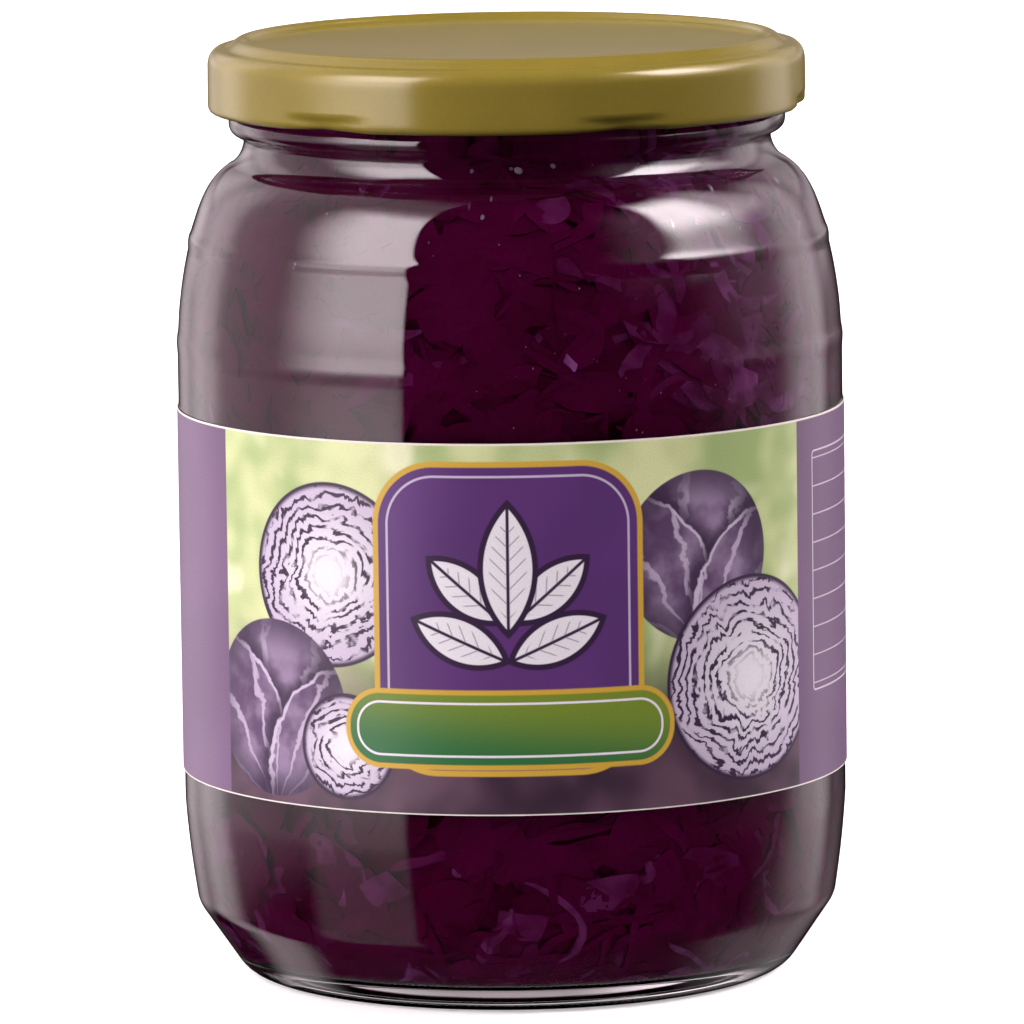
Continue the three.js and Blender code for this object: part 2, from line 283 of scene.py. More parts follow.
def glass_outside(glass):
    """The outer wall, from the middle of the foot up to the rim."""
    body = glass.body_radius / MM
    rim = glass.height / MM
    return outline_from(
        (0, 1.6),
        (8, (18.6, 1.6), (30.2, 0.25)),
        (3, (31, 0), (32, 0)),
        (4, (36, 0)),
        (8, (38.77, 0), (40.2, 2.1)),
        (5, (45.2, 9.46)),
        (5, (45.8, 10.35), (45.9, 11.4)),
        (8, (body - 0.45, 18), (body, 25)),
        (10, (body, 88.6)),
        (6, (body + 0.02, 89.6), (body + 0.12, 90.1), (body + 0.1, 90.9)),
        (4, (body + 0.08, 91.4), (body - 0.03, 91.9)),
        (5, (body - 0.15, 92.45), (body - 0.2, 93.6)),
        (8, (body - 0.45, 98.2), (45.8, 103.4)),
        (4, (45.62, 104), (45.66, 104.9)),
        (5, (45.65, 105.65), (45.3, 106.3)),
        (12, (44.3, 109), (43.5, 113.2), (40, 115.6)),
        (10, (38, 116.5), (37.5, 119.1)),
        (4, (37.5, 119.9), (38.1, 120.05)),
        (6, (39.6, 120.4), (39.6, 121.9)),
        (5, (39.5, 123.2), (38.6, 123.5)),
        (3, (38.6, rim - 1.2)),
        (5, (38.5, rim), (37.2, rim)),
    )


def glass_inside(glass):
    """The inner wall, from the middle of the floor up to the rim."""
    inside = (glass.body_radius - glass.wall) / MM
    rim = glass.height / MM
    return outline_from(
        (0, 5.4),
        (8, (20, 5.4), (35.5, 4.3)),
        (6, (38, 4.3), (39.6, 6.5)),
        (4, (42.6, 11)),
        (8, (inside - 0.5, 14.2), (inside, 25)),
        (10, (inside, 89)),
        (8, (inside - 0.2, 96.4), (43.05, 104.2)),
        (10, (41.6, 107.8), (40.6, 111.6), (37.2, 114.3)),
        (6, (35.3, 116), (35.2, 118.8)),
        (4, (35.2, rim - 1.2)),
        (5, (35.3, rim), (36.4, rim)),
    )


def lid_section(lid):
    """The lid's sheet, from the middle of its inner face round the rolled edge to the middle of its top."""
    radius = lid.radius / MM
    bottom = lid.bottom / MM
    top = lid.top / MM
    sheet = lid.sheet / MM
    panel = top - 0.9
    middle = panel - 0.35
    step = top - 1.35
    return outline_from(
        (0, middle - sheet),
        (8, (18, middle - sheet), (36.1, panel - sheet)),
        (4, (36.6, panel - sheet), (37.3, top - sheet)),
        (2, (38.4, top - sheet)),
        (2, (39.8, step - sheet)),
        (1, (40.4, step - sheet)),
        (5, (radius - sheet, step - sheet), (radius - sheet, 130.3)),
        (4, (radius - sheet, bottom + 2)),
        (4, (radius - 2, bottom + 2), (radius - 2, bottom + 1)),
        (5, (radius - 2, bottom), (radius - 1, bottom)),
        (6, (radius, bottom), (radius, bottom + 1.1)),
        (10, (radius - 0.05, 130.2)),
        (8, (radius - 0.1, 131.7), (41.3, step - 0.05)),
        (4, (40.7, step + 0.12), (40.2, step + 0.05)),
        (8, (39.5, step), (38.9, top - 0.3), (38, top)),
        (5, (37.2, top), (36.9, top - 0.5)),
        (5, (36.6, panel), (35.7, panel)),
        (8, (18, middle), (0, middle)),
    )


# Modelling


def clear_selection():
    if bpy.context.mode != "OBJECT":
        bpy.ops.object.mode_set(mode="OBJECT")
    bpy.ops.object.select_all(action="DESELECT")


def select_only(piece):
    clear_selection()
    piece.select_set(True)
    bpy.context.view_layer.objects.active = piece


def select_vertices(piece, chosen):
    """Selects these vertices of a piece and nothing else of it."""
    select_only(piece)
    for parts in (piece.data.polygons, piece.data.edges):
        parts.foreach_set("select", np.zeros(len(parts), bool))
    piece.data.vertices.foreach_set("select", chosen)


def turned_piece(name, outline, steps, start=0.0, sweep=FULL_TURN):
    """A piece made as on a lathe: an outline drawn point by point, then spun about the jar's axis."""
    clear_selection()
    bpy.ops.mesh.primitive_plane_add(size=MM, enter_editmode=True)
    piece = bpy.context.object
    piece.name = name
    piece.data.name = name
    bpy.ops.mesh.merge(type="CENTER")
    direction = Vector((math.cos(start), math.sin(start), 0))
    points = [direction * radius * MM + Vector((0, 0, height * MM)) for radius, height in outline]
    bpy.ops.transform.translate(value=points[0])
    for here, there in zip(points, points[1:]):
        bpy.ops.mesh.extrude_region_move(TRANSFORM_OT_translate={"value": there - here})
    bpy.ops.mesh.select_all(action="SELECT")
    bpy.ops.mesh.spin(steps=steps, angle=sweep, center=(0, 0, 0), axis=(0, 0, 1))
    bpy.ops.mesh.select_all(action="SELECT")
    bpy.ops.mesh.remove_doubles(threshold=MERGE_DISTANCE)
    bpy.ops.mesh.normals_make_consistent(inside=False)
    bpy.ops.object.mode_set(mode="OBJECT")
    return piece


def joined_piece(name, vertices, faces):
    """Many like bits joined in one piece, from arrays of their places (mm) and of their faces."""
    mesh = bpy.data.meshes.new(name)
    mesh.from_pydata((np.concatenate(vertices) * MM).tolist(), [], np.concatenate(faces).tolist())
    piece = bpy.data.objects.new(name, mesh)
    bpy.context.collection.objects.link(piece)
    return piece


def finish_piece(piece, material, node=None, crease=40):
    """Smooths a piece up to a crease (degrees), gives it its material, hangs it on the root body and hides
    the imported part that it replaces, if any.
    """
    select_only(piece)
    bpy.ops.object.shade_smooth_by_angle(angle=math.radians(crease))
    piece.data.materials.clear()
    piece.data.materials.append(material)
    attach(piece, "root")
    if node:
        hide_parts(node)
    if len(piece.data.polygons) == 0:
        raise RuntimeError(f"{piece.name} has no faces")


# Shader nodes


# Sockets of a Mix node that blends colours
MIX_SHARE, MIX_FIRST, MIX_SECOND, MIX_RESULT = 0, 6, 7, 2


class Nodes:
    """A node tree with short calls for the nodes that the finishes use."""

    def __init__(self, tree):
        self.tree = tree

    def add(self, kind, sockets=None, **settings):
        node = self.tree.nodes.new(kind)
        for key, value in settings.items():
            setattr(node, key, value)
        for key, value in (sockets or {}).items():
            self.feed(node.inputs[key], value)
        return node

    def feed(self, socket, value):
        if isinstance(value, bpy.types.NodeSocket):
            self.tree.links.new(value, socket)
        elif socket.type == "RGBA" and len(value) == 3:
            socket.default_value = (*value, 1)
        else:
            socket.default_value = value

    def place(self, group, *values):
        """Places a shader node group, with values for its inputs in their order, and gives its outputs."""
        tree = bpy.data.node_groups[group]
        return self.add("ShaderNodeGroup", dict(enumerate(values)), node_tree=tree).outputs

    def math(self, operation, *values):
        return self.add("ShaderNodeMath", dict(enumerate(values)), operation=operation).outputs[0]

    def plus(self, first, second):
        return self.math("ADD", first, second)

    def minus(self, first, second):
        return self.math("SUBTRACT", first, second)

    def times(self, first, second):
        return self.math("MULTIPLY", first, second)

    def span(self, x, y):
        """The length of a line that runs x across and y up."""
        return self.math("SQRT", self.plus(self.times(x, x), self.times(y, y)))

    def ramp(self, value, low, high, start=0.0, end=1.0):
        """Goes from start to end, smoothly, as value goes from low to high."""
        sockets = {"Value": value, "From Min": low, "From Max": high, "To Min": start, "To Max": end}
        node = self.add("ShaderNodeMapRange", sockets, interpolation_type="SMOOTHSTEP")
        return node.outputs["Result"]

    def band(self, value, middle, half, soft):
        """A mask that is 1 where value is within half of middle."""
        off = self.math("ABSOLUTE", self.minus(value, middle))
        return self.ramp(off, half - soft, half + soft, 1.0, 0.0)

    def blend(self, share, first, second):
        sockets = {MIX_SHARE: share, MIX_FIRST: first, MIX_SECOND: second}
        return self.add("ShaderNodeMix", sockets, data_type="RGBA").outputs[MIX_RESULT]

    def point(self):
        return self.add("ShaderNodeTexCoord").outputs["Object"]

    def split(self, vector):
        return self.add("ShaderNodeSeparateXYZ", {"Vector": vector}).outputs

    def vector(self, x, y, z=0.0):
        return self.add("ShaderNodeCombineXYZ", {"X": x, "Y": y, "Z": z}).outputs[0]

    def noise(self, vector, scale, detail=2.0, roughness=0.5, distortion=0.0):
        names = ("Vector", "Scale", "Detail", "Roughness", "Distortion")
        sockets = dict(zip(names, (vector, scale, detail, roughness, distortion)))
        return self.add("ShaderNodeTexNoise", sockets).outputs["Fac"]

    def patches(self, vector, scale, low=0.3, high=0.7, detail=2.0):
        """A mask of soft uneven patches."""
        return self.place("soft_patches", vector, scale, detail, low, high)["Mask"]

    def round_the_jar(self, radius):
        """Millimetres round a turned piece from its front towards the right, and above the floor."""
        outputs = self.place("round_the_jar", self.point(), radius / MM)
        return outputs["Around"], outputs["Up"]

    def bump(self, height, strength, distance):
        sockets = {"Height": height, "Strength": strength, "Distance": distance}
        return self.add("ShaderNodeBump", sockets).outputs["Normal"]


def new_group(name, inputs, outputs):
    """A shader node group with named sockets: its nodes, what comes in and what goes out."""
    tree = bpy.data.node_groups.new(name, "ShaderNodeTree")
    for socket in inputs:
        kind = "NodeSocketVector" if socket == "Vector" else "NodeSocketFloat"
        tree.interface.new_socket(socket, in_out="INPUT", socket_type=kind)
    for socket in outputs:
        tree.interface.new_socket(socket, in_out="OUTPUT", socket_type="NodeSocketFloat")
    nodes = Nodes(tree)
    return nodes, nodes.add("NodeGroupInput").outputs, nodes.add("NodeGroupOutput").inputs


def soft_patches_group():
    """Uneven patches with soft edges: a mask."""
    inputs = ("Vector", "Scale", "Detail", "Low", "High")
    nodes, given, result = new_group("soft_patches", inputs, ("Mask",))
    cloud = nodes.noise(given["Vector"], given["Scale"], given["Detail"], 0.55)
    nodes.feed(result["Mask"], nodes.ramp(cloud, given["Low"], given["High"]))


def round_the_jar_group():
    """The way round a turned piece from its front and the height above the floor, in millimetres."""
    nodes, given, result = new_group("round_the_jar", ("Vector", "Radius"), ("Around", "Up"))
    place = nodes.split(given["Vector"])
    turn = nodes.math("ARCTAN2", place["X"], nodes.times(place["Y"], -1.0))
    nodes.feed(result["Around"], nodes.times(turn, given["Radius"]))
    nodes.feed(result["Up"], nodes.times(place["Z"], 1 / MM))


def print_disc_group():
    """A circle of the print: a mask, the way from its middle and the distance from there."""
    inputs = ("X", "Y", "Middle X", "Middle Y", "Radius")
    nodes, given, result = new_group("print_disc", inputs, ("Mask", "Reach", "Across", "Above"))
    across = nodes.minus(given["X"], given["Middle X"])
    above = nodes.minus(given["Y"], given["Middle Y"])
    reach = nodes.span(across, above)
    edge = nodes.minus(reach, given["Radius"])
    nodes.feed(result["Mask"], nodes.ramp(edge, -PRINT_EDGE, PRINT_EDGE, 1.0, 0.0))
    nodes.feed(result["Reach"], reach)
    nodes.feed(result["Across"], across)
    nodes.feed(result["Above"], above)


def print_panel_group():
    """A rectangle of the print with round corners: a mask, and the distance outside its edge."""
    inputs = ("X", "Y", "Middle X", "Middle Y", "Half Width", "Half Height", "Corner")
    nodes, given, result = new_group("print_panel", inputs, ("Mask", "Edge"))
    over = []
    for place, middle, half in (("X", "Middle X", "Half Width"), ("Y", "Middle Y", "Half Height")):
        off = nodes.math("ABSOLUTE", nodes.minus(given[place], given[middle]))
        over.append(nodes.plus(nodes.minus(off, given[half]), given["Corner"]))
    outside = nodes.span(*(nodes.math("MAXIMUM", side, 0.0) for side in over))
    inside = nodes.math("MINIMUM", nodes.math("MAXIMUM", *over), 0.0)
    edge = nodes.minus(nodes.plus(outside, inside), given["Corner"])
    nodes.feed(result["Mask"], nodes.ramp(edge, -PRINT_EDGE, PRINT_EDGE, 1.0, 0.0))
    nodes.feed(result["Edge"], edge)


def print_leaf_group():
    """A pointed leaf of the print: the distance outside its edge, and the place across and along it."""
    inputs = ("X", "Y", "Middle X", "Middle Y", "Turn", "Half Length", "Half Width")
    nodes, given, result = new_group("print_leaf", inputs, ("Edge", "Across", "Along"))
    right = nodes.minus(given["X"], given["Middle X"])
    up = nodes.minus(given["Y"], given["Middle Y"])
    cosine = nodes.math("COSINE", given["Turn"])
    sine = nodes.math("SINE", given["Turn"])
    across = nodes.minus(nodes.times(right, cosine), nodes.times(up, sine))
    along = nodes.plus(nodes.times(right, sine), nodes.times(up, cosine))
    squares = [nodes.times(given[half], given[half]) for half in ("Half Length", "Half Width")]
    bow = nodes.math("DIVIDE", nodes.plus(*squares), nodes.times(given["Half Width"], 2.0))
    off = nodes.minus(nodes.plus(nodes.math("ABSOLUTE", across), bow), given["Half Width"])
    nodes.feed(result["Edge"], nodes.minus(nodes.span(off, along), bow))
    nodes.feed(result["Across"], across)
    nodes.feed(result["Along"], along)


def make_groups():
    """Builds the node groups that the finishes share, once."""
    if "soft_patches" not in bpy.data.node_groups:
        soft_patches_group()
        round_the_jar_group()
        print_disc_group()
        print_panel_group()
        print_leaf_group()


def new_material(name, plain):
    """A material of one shader with plain values: it, its nodes, the shader's inputs and the output."""
    make_groups()
    material = bpy.data.materials.new(name)
    material.use_nodes = True
    nodes = Nodes(material.node_tree)
    material.node_tree.nodes.clear()
    surface = nodes.add("ShaderNodeBsdfPrincipled", plain)
    output = nodes.add("ShaderNodeOutputMaterial", {"Surface": surface.outputs[0]})
    return material, nodes, surface.inputs, output


def darker(tone, share):
    return tuple(level * share for level in tone)


# Finishes of glass and metal


def clear_glass(glass, bending):
    return {"Base Color": glass.tint, "Transmission Weight": 1, "IOR": bending, "Roughness": 0}


def wet_glass_material(glass):
    """The inner wall where liquid touches it: light bends into the liquid, and only the foot mirrors."""
    material, nodes, surface, _ = new_material("jar_glass_wet", clear_glass(glass, GLASS_IOR / LIQUID_IOR))
    up = nodes.split(nodes.point())["Z"]
    nodes.feed(surface["Specular Tint"], nodes.blend(nodes.ramp(up, *MIRROR_FADE), WHITE, BLACK))
    return material


def glass_material(glass):
    """Clear glass with faint waves, dents that deepen at the neck, a mould's seam and a knurled foot."""
    material, nodes, surface, _ = new_material("jar_glass", clear_glass(glass, GLASS_IOR))
    around, up = nodes.round_the_jar(glass.body_radius)
    point = nodes.point()
    waves = nodes.patches(point, 45, 0.2, 0.8, 1)
    dents = nodes.patches(point, 120, 0.2, 0.8, 1)
    seam_place = glass.seam_angle * glass.body_radius / MM
    seam = nodes.ramp(nodes.math("ABSOLUTE", nodes.minus(around, seam_place)), 0.0, 0.5, 1.0, 0.0)
    knurls = nodes.math("SINE", nodes.times(around, 5.0))
    foot = nodes.times(knurls, nodes.ramp(up, 0.5, 1.2, 1.0, 0.0))
    rough_neck = nodes.ramp(up, 114, 119, 0.035, 0.14)
    height = nodes.plus(nodes.times(waves, 0.15), nodes.times(dents, rough_neck))
    height = nodes.plus(height, nodes.times(seam, 0.05))
    height = nodes.plus(height, nodes.times(foot, 0.06))
    nodes.feed(surface["Normal"], nodes.bump(height, 0.35, MM))
    return material


def lid_material(lid):
    """Gold lacquer on sheet steel: cloudy, with fine speckles, under a clear coat."""
    plain = {"Metallic": 0.12, "Specular IOR Level": 0, "Coat Weight": 0.8, "Coat Roughness": 0.17}
    material, nodes, surface, _ = new_material("gold_lacquer", plain)
    point = nodes.point()
    cloud = nodes.patches(point, 60, detail=4)
    grain = nodes.noise(point, 2600)
    speckle = nodes.patches(point, 1500, 0.4, 0.75)
    base = nodes.blend(cloud, darker(lid.gold, 0.9), lid.gold)
    base = nodes.blend(nodes.times(speckle, 0.12), base, darker(lid.gold, 0.6))
    nodes.feed(surface["Base Color"], base)
    nodes.feed(surface["Roughness"], nodes.ramp(cloud, 0.0, 1.0, 0.36, 0.42))
    nodes.feed(surface["Normal"], nodes.bump(grain, 0.04, 0.05 * MM))
    return material


# Print of the label, in millimetres across from its front and up from its lower edge


def disc(nodes, x, y, middle, radius):
    outputs = nodes.place("print_disc", x, y, *middle, radius)
    return outputs["Mask"], outputs["Reach"], outputs["Across"], outputs["Above"]


def panel(nodes, x, y, middle, half, corner):
    outputs = nodes.place("print_panel", x, y, *middle, *half, corner)
    return outputs["Mask"], outputs["Edge"]


def cut_head(nodes, under, label, x, y, middle, radius, seed):
    """Paints a cut head: pale, with crowded dark leaf lines round a plain stalk."""
    mask, reach, across, above = disc(nodes, x, y, middle, radius)
    spread = nodes.vector(across, above, seed)
    swirl = nodes.noise(spread, 0.13, 4, 0.62, 0.8)
    wave = nodes.plus(nodes.times(reach, 4.2), nodes.times(swirl, 34.0))
    lines = nodes.ramp(nodes.math("SINE", wave), 0.0, 0.8)
    gaps = nodes.patches(nodes.vector(across, above, seed + 5), 0.4, 0.34, 0.5)
    lines = nodes.times(lines, nodes.times(gaps, nodes.ramp(reach, 1.5, radius * 0.42)))
    lines = nodes.math("MAXIMUM", lines, nodes.ramp(reach, radius - 1.1, radius - 0.3))
    leaf = nodes.blend(nodes.ramp(reach, 0.0, radius), label.cream, label.lilac)
    return nodes.blend(mask, under, nodes.blend(lines, leaf, label.ink))


def whole_head(nodes, under, label, x, y, middle, radius, seed):
    """Paints a whole head: dusky leaves wrapped over each other, with pale veins from its foot."""
    ball, reach, across, above = disc(nodes, x, y, middle, radius)
    waver = nodes.noise(nodes.vector(across, above, seed), 0.18, 3, 0.6, 0.5)
    bloom = nodes.patches(nodes.vector(across, above, seed + 3), 0.14, 0.35, 0.65, 3)
    leaf = nodes.blend(bloom, shade(84, 62, 94), shade(140, 122, 150))
    fan = nodes.math("ARCTAN2", across, nodes.plus(above, radius * 1.15))
    paint = leaf
    for phase, side, high, wide in WRAPPED_LEAVES:
        place = (middle[0] + side * radius, middle[1] + high * radius)
        _, wrap, _, _ = disc(nodes, x, y, place, radius)
        edge = nodes.minus(nodes.plus(wrap, nodes.times(waver, 3.0)), wide * radius + 1.5)
        spread = nodes.plus(nodes.plus(nodes.times(fan, 16.0), nodes.times(waver, 6.0)), phase)
        veins = nodes.times(nodes.ramp(nodes.math("SINE", spread), 0.8, 0.98), 0.75)
        sheet = nodes.blend(veins, leaf, label.lilac)
        sheet = nodes.blend(nodes.band(edge, -0.3, 0.25, 0.15), sheet, label.lilac)
        shadow = nodes.ramp(edge, 0.0, 3.0, 0.85, 0.0)
        paint = nodes.blend(shadow, paint, label.ink)
        paint = nodes.blend(nodes.ramp(edge, -0.15, 0.15, 1.0, 0.0), paint, sheet)
    paint = nodes.blend(nodes.ramp(reach, radius * 0.55, radius, 0.0, 0.8), paint, label.ink)
    return nodes.blend(ball, under, paint)


def sprig_leaf(nodes, under, label, x, y, place, half_length, half_width):
    """Paints a pale pointed leaf with a dark outline, middle vein and ribs."""
    outputs = nodes.place("print_leaf", x, y, *place, half_length, half_width)
    edge, across, along = outputs["Edge"], outputs["Across"], outputs["Along"]
    paint = nodes.blend(nodes.ramp(edge, 0.7, 0.9, 1.0, 0.0), under, label.ink)
    slant = nodes.minus(along, nodes.math("ABSOLUTE", across))
    ribs = nodes.math("FRACT", nodes.times(slant, 0.5))
    ribs = nodes.times(nodes.band(ribs, 0.5, 0.07, 0.04), nodes.ramp(edge, -1.0, -0.6, 1.0, 0.0))
    vein = nodes.band(across, 0.0, 0.22, 0.1)
    face = nodes.blend(nodes.math("MAXIMUM", nodes.times(ribs, 0.5), vein), label.cream, label.ink)
    return nodes.blend(nodes.ramp(edge, -0.1, 0.1, 1.0, 0.0), paint, face)


def picture(nodes, label, x, y):
    """Paints the front field: blurred greenery above dusk, with heads at both sides."""
    blotch = nodes.patches(nodes.vector(x, y, 1), 0.07, 0.35, 0.65)
    glow = nodes.noise(nodes.vector(x, y, 9), 0.11, 1)
    green = nodes.blend(blotch, shade(150, 172, 112), label.pale_green)
    green = nodes.blend(nodes.ramp(glow, 0.55, 0.75, 0.0, 0.6), green, shade(236, 238, 206))
    dusk = nodes.blend(blotch, shade(52, 36, 50), shade(92, 68, 84))
    paint = nodes.blend(nodes.ramp(nodes.plus(y, nodes.times(glow, 9.0)), 14, 32), dusk, green)
    heads = (
        (cut_head, (-27, 33), 13),
        (whole_head, (-37, 13.5), 12.5),
        (whole_head, (27.5, 35), 12),
        (cut_head, (36.5, 17), 14.5),
        (cut_head, (-24.5, 9), 7.5),
    )
    for seed, (paint_head, middle, radius) in enumerate(heads, 1):
        paint = paint_head(nodes, paint, label, x, y, middle, radius, seed)
    return paint


def side_panels(nodes, label, x, y):
    """Paints the plain violet sides, with an empty ruled frame on the right."""
    cloud = nodes.patches(nodes.vector(x, y, 2), 0.05, detail=1)
    side = nodes.blend(cloud, darker(label.violet, 0.86), label.violet)
    rules = nodes.band(nodes.math("FRACT", nodes.math("DIVIDE", y, 4.0)), 0.5, 0.02, 0.02)
    frame_mask, frame_edge = panel(nodes, x, y, (72, 30), (20, 17), 0.6)
    lines = nodes.math("MAXIMUM", nodes.times(frame_mask, rules), nodes.band(frame_edge, 0.0, 0.12, 0.06))
    return nodes.blend(nodes.times(lines, 0.7), side, label.cream)


def medallion(nodes, under, label, x, y):
    """Paints the violet shield with a sprig of five pale leaves, and a green ribbon across its foot."""
    middle = -0.7
    rim, _ = panel(nodes, x, y, (middle, 27.5), (19.2, 22), 9)
    paint = nodes.blend(rim, under, label.gold)
    shield, edge = panel(nodes, x, y, (middle, 27.5), (18.4, 21.2), 8.2)
    grain = nodes.patches(nodes.vector(x, y, 3), 0.06, 0.3, 0.7, 1)
    violet = nodes.blend(grain, darker(label.deep_violet, 0.85), label.deep_violet)
    violet = nodes.blend(nodes.band(edge, -1.3, 0.16, 0.08), violet, label.lilac)
    paint = nodes.blend(shield, paint, violet)
    for side in (-1, 1):
        for up, out, turn, size in SPRIG_LEAVES:
            place = (middle + side * out, up, side * turn)
            paint = sprig_leaf(nodes, paint, label, x, y, place, size, size * 0.42)
    paint = sprig_leaf(nodes, paint, label, x, y, (middle, 34.5, 0.0), 8.6, 3.4)
    ribbon_rim, _ = panel(nodes, x, y, (middle, 12), (23.8, 5.6), 5.4)
    paint = nodes.blend(ribbon_rim, paint, label.gold)
    ribbon, inner = panel(nodes, x, y, (middle, 12), (23.1, 4.9), 4.7)
    slope = nodes.plus(y, nodes.times(x, 0.12))
    green = nodes.blend(nodes.ramp(slope, 7, 17), label.leaf_green, label.olive)
    green = nodes.blend(nodes.band(inner, -1.2, 0.16, 0.08), green, label.cream)
    return nodes.blend(ribbon, paint, green)


def label_material(label):
    """Printed paper: the picture between plain sides, with pale cut edges, fine dots and faint fibres."""
    plain = {"Specular IOR Level": 0.3, "Coat Weight": 0.05, "Coat Roughness": 0.25}
    material, nodes, surface, _ = new_material("label_paper", plain)
    x, height = nodes.round_the_jar(label.radius)
    tall = label.height / MM
    y = nodes.minus(height, label.bottom / MM)
    front = nodes.ramp(nodes.math("ABSOLUTE", x), 47.4, 47.6, 1.0, 0.0)
    paint = nodes.blend(front, side_panels(nodes, label, x, y), picture(nodes, label, x, y))
    paint = medallion(nodes, paint, label, x, y)
    for edge, inner in ((tall - 0.2, tall - 0.35), (0.1, 0.25)):
        paint = nodes.blend(nodes.ramp(y, inner, edge), paint, shade(225, 220, 212))
    dots = nodes.patches(nodes.vector(x, y, 4), 4.5, 0.3, 0.7, 1)
    paint = nodes.blend(nodes.times(dots, 0.1), paint, label.ink)
    nodes.feed(surface["Base Color"], paint)
    nodes.feed(surface["Roughness"], nodes.ramp(dots, 0.0, 1.0, 0.36, 0.44))
    fibres = nodes.noise(nodes.vector(x, y, 6), 0.9, 1)
    nodes.feed(surface["Normal"], nodes.bump(fibres, 0.05, 0.1 * MM))
    return material


def label_back_material(label):
    """The paper's back, with the print's violet showing through it."""
    plain = {"Roughness": 0.6, "Specular IOR Level": 0.3}
    material, nodes, surface, _ = new_material("label_back", plain)
    cloud = nodes.patches(nodes.point(), 40, detail=1)
    nodes.feed(surface["Base Color"], nodes.blend(cloud, darker(label.violet, 0.86), label.violet))
    return material


# Finishes of the contents


def shred_material(cabbage):
    """Red leaf, darker or lighter by its tint and in mottles, and pale where the tint is over 1: bits of
    stalk, and shreds made pale as painted light at the front right and by the foot.
    """
    material, nodes, surface, _ = new_material("cabbage_shreds", {"Specular IOR Level": 0})
    tint = nodes.add("ShaderNodeAttribute", attribute_name="tint").outputs["Fac"]
    point = nodes.point()
    veins = nodes.patches(point, 420, 0.25, 0.75, 2)
    mottle = nodes.patches(point, 130, 0.3, 0.7, 3)
    marks = nodes.plus(nodes.times(mottle, 0.35), nodes.times(veins, 0.15))
    share = nodes.plus(nodes.times(nodes.math("MINIMUM", tint, 1.0), 0.5), marks)
    leaf_colour = nodes.blend(share, cabbage.dark, cabbage.light)
    uneven = nodes.ramp(nodes.plus(mottle, veins), 0.2, 1.8, 0.3, 1.4)
    # Pale where the tint is over 1: stalk, and painted light at the front right and by the foot
    pale = nodes.times(nodes.ramp(tint, 1.0, 2.0), uneven)
    nodes.feed(surface["Base Color"], nodes.blend(pale, leaf_colour, cabbage.pale))
    nodes.feed(surface["Roughness"], nodes.ramp(veins, 0.0, 1.0, 0.3, 0.45))
    nodes.feed(surface["Normal"], nodes.bump(veins, 0.3, 0.1 * MM))
    return material


def core_material(cabbage):
    """Crowded folds in the dark between the shreds."""
    plain = {"Roughness": 0.5, "Specular IOR Level": 0}
    material, nodes, surface, _ = new_material("cabbage_core", plain)
    folds = nodes.patches(nodes.point(), 160, 0.35, 0.7)
    nodes.feed(surface["Base Color"], nodes.blend(folds, cabbage.dark, cabbage.light))
    nodes.feed(surface["Normal"], nodes.bump(folds, 0.5, 0.8 * MM))
    return material


def bubble_material():
    """Air under liquid throws light back, duller where its skin is stained."""
    material, nodes, surface, _ = new_material("air_bubbles", {"Metallic": 0.3, "Roughness": 0.2})
    stain = nodes.patches(nodes.point(), 300)
    nodes.feed(surface["Base Color"], nodes.blend(stain, (0.13, 0.08, 0.11), (0.28, 0.2, 0.25)))
    return material


def liquid_material(cabbage):
    """Liquid that only takes up light: the wet inner wall already bends it."""
    plain = {"Base Color": WHITE, "Transmission Weight": 1, "IOR": 1, "Roughness": 0}
    material, nodes, _, output = new_material("dark_liquid", plain)
    sockets = {"Color": cabbage.liquid, "Density": cabbage.strength}
    nodes.feed(output.inputs["Volume"], nodes.add("ShaderNodeVolumeAbsorption", sockets).outputs[0])
    return material


# Cabbage


class FilledWall:
    """The inner wall up to the fill level, as points at a depth (mm) behind the glass."""

    def __init__(self, glass, cabbage):
        level = cabbage.fill_level / MM
        outline = [point for point in glass_inside(glass) if point[1] < level]
        outline.append((outline[-1][0], level))
        self.points = np.array(outline)
        steps = np.diff(self.points, axis=0)
        self.along = np.concatenate([[0], np.cumsum(np.linalg.norm(steps, axis=1))])
        tangents = np.gradient(self.points, self.along, axis=0)
        self.tangents = tangents / np.linalg.norm(tangents, axis=1, keepdims=True)
        self.length = self.along[-1]

    def section(self, along, depth):
        along = np.clip(along, 0, self.length)
        radius, height = (np.interp(along, self.along, self.points[:, k]) for k in (0, 1))
        out, up = (np.interp(along, self.along, self.tangents[:, k]) for k in (0, 1))
        level = self.points[-1, 1]
        return np.maximum(radius - up * depth, 0.05), np.minimum(height + out * depth, level - 0.1)

    def place(self, along, angle, depth):
        radius, height = self.section(along, depth)
        return np.stack([radius * np.cos(angle), radius * np.sin(angle), height], axis=-1)

    def inset(self, depths, rows):
        """The outline of what lies at these depths behind the glass, closed at the fill level."""
        along = np.linspace(0, self.length, rows)
        radius, height = self.section(along, np.interp(along, ALONG_WALL, depths))
        radius[0] = 0
        return [*zip(radius, height), (0, height[-1])]


def closed_quads(steps, columns):
    """Quads of a sheet of (steps + 1) by (columns + 1) points, its underside and the rim between them."""
    rows = columns + 1
    count = rows * (steps + 1)
    grid = np.arange(count).reshape(steps + 1, rows)
    top = np.stack([grid[:-1, :-1], grid[:-1, 1:], grid[1:, 1:], grid[1:, :-1]], -1).reshape(-1, 4)
    rim = np.concatenate([grid[0, :], grid[1:, -1], grid[-1, -2::-1], grid[-2:0:-1, 0]])
    after = np.roll(rim, -1)
    sides = np.stack([rim, rim + count, after + count, after], -1)
    return np.concatenate([top, top[:, ::-1] + count, sides])


